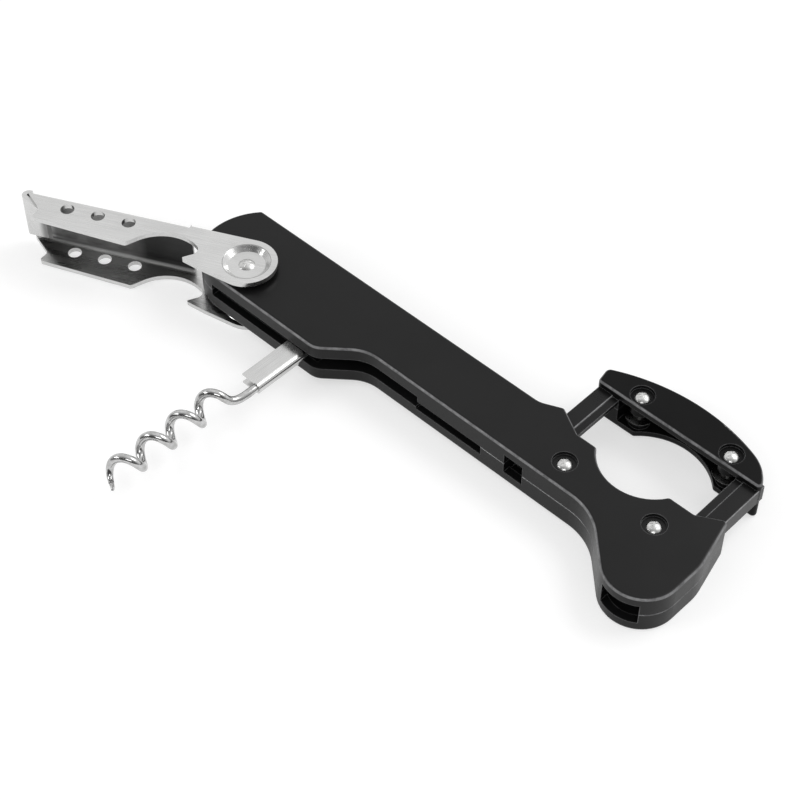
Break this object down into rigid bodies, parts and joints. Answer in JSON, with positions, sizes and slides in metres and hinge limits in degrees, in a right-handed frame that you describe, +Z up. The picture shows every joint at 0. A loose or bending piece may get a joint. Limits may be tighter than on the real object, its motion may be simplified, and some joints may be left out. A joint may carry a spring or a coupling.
{
  "type": "lever corkscrew",
  "caption": "Folding hand corkscrew: a flat handle with a swinging sheet-metal lever, a fold-out worm and a spring-loaded wheel foil cutter that squeezes round a bottle neck.",
  "frame": {"origin": "on the worm's pivot axis, in the flat underside of the lower shell", "axes": "+X along the handle toward the foil cutter, +Y toward the side the jaw slides out of, +Z up, away from the flat underside"},
  "size_m": [0.2005, 0.1095, 0.0167],
  "materials": {
    "handle_plastic": "satin black moulded plastic",
    "jaw_plastic": "satin black moulded plastic",
    "rail_plastic": "smooth black moulded plastic",
    "rivet_steel": "polished steel rivet",
    "pin_steel": "bright domed steel heads",
    "spring_steel": "drawn spring wire",
    "cutter_steel": "ground hardened steel",
    "lever_steel": "nickel plated stamped sheet",
    "shank_steel": "plated folded sheet",
    "worm_steel": "plated steel wire"
  },
  "bodies": {
    "handle": {"upper_shell": "handle_plastic", "lower_shell": "handle_plastic", "lever_rivet": "rivet_steel", "worm_pin": "rivet_steel", "wheel_pin_a": "pin_steel", "wheel_pin_b": "pin_steel", "left_spring": "spring_steel", "right_spring": "spring_steel"},
    "jaw": {"jaw_upper_cover": "jaw_plastic", "jaw_lower_cover": "jaw_plastic", "left_rail": "rail_plastic", "right_rail": "rail_plastic", "wheel_pin_c": "pin_steel", "wheel_pin_d": "pin_steel"},
    "wheel_a": {"cutting_wheel_a": "cutter_steel"},
    "wheel_b": {"cutting_wheel_b": "cutter_steel"},
    "wheel_c": {"cutting_wheel_c": "cutter_steel"},
    "wheel_d": {"cutting_wheel_d": "cutter_steel"},
    "lever": {"lever": "lever_steel"},
    "worm": {"worm_shank": "shank_steel", "worm_wire": "worm_steel"}
  },
  "joints": [
    {"name": "lever_swing", "type": "hinge", "parent": "handle", "child": "lever", "pos_m": [-0.026, 0, 0.00575], "axis": [0, 0, 1], "range_deg": [-26, 80]},
    {"name": "worm_fold", "type": "hinge", "parent": "handle", "child": "worm", "pos_m": [0, 0, 0.00575], "axis": [0, 0, 1], "range_deg": [0, 90]},
    {"name": "jaw_slide", "type": "slide", "parent": "handle", "child": "jaw", "axis": [0, 1, 0], "range_m": [-0.004, 0], "stiffness_N_per_m": 600, "springref_m": 0.004, "deforming": ["left_spring", "right_spring"]},
    {"name": "wheel_a_spin", "type": "hinge", "parent": "handle", "child": "wheel_a", "pos_m": [0.0723, 0.0071, 0.00485], "axis": [0, 0, 1], "continuous": true},
    {"name": "wheel_b_spin", "type": "hinge", "parent": "handle", "child": "wheel_b", "pos_m": [0.0985, 0.0071, 0.00485], "axis": [0, 0, 1], "continuous": true},
    {"name": "wheel_c_spin", "type": "hinge", "parent": "jaw", "child": "wheel_c", "pos_m": [0.0723, 0.0354, 0.00485], "axis": [0, 0, 1], "continuous": true},
    {"name": "wheel_d_spin", "type": "hinge", "parent": "jaw", "child": "wheel_d", "pos_m": [0.0985, 0.0354, 0.00485], "axis": [0, 0, 1], "continuous": true}
  ]
}
